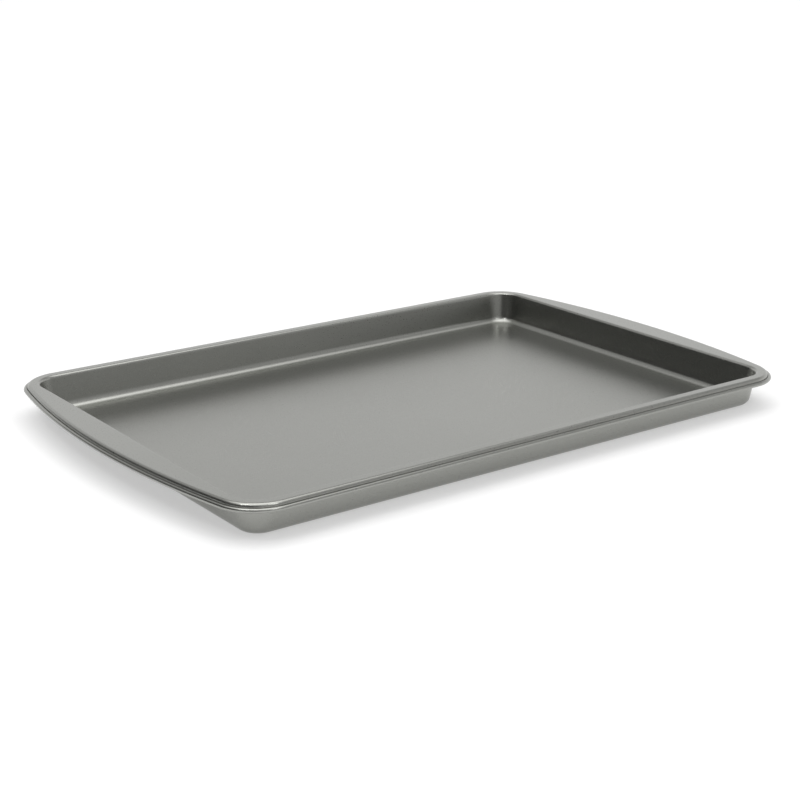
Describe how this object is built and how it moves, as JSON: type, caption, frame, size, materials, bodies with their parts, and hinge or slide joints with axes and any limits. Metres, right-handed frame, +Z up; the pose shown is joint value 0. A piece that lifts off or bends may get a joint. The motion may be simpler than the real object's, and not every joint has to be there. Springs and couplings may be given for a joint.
{
  "type": "jelly roll pan",
  "caption": "Shallow rectangular baking tray with leaning walls, a flat flange that widens into a bowed handle at each end, and a rim rolled round a wire.",
  "frame": {"origin": "middle of the flat underside, on the surface that the pan stands on", "axes": "+X along the length, from handle to handle; +Y across the width; +Z up, out of the open tray"},
  "size_m": [0.4304, 0.2792, 0.022],
  "materials": {
    "coated_sheet": "satin metallic grey non-stick coating on sheet steel",
    "wire": "bare drawn wire, hidden in the curl"
  },
  "bodies": {
    "root": {"pan_shell": "coated_sheet", "rim_wire": "wire"}
  },
  "joints": []
}
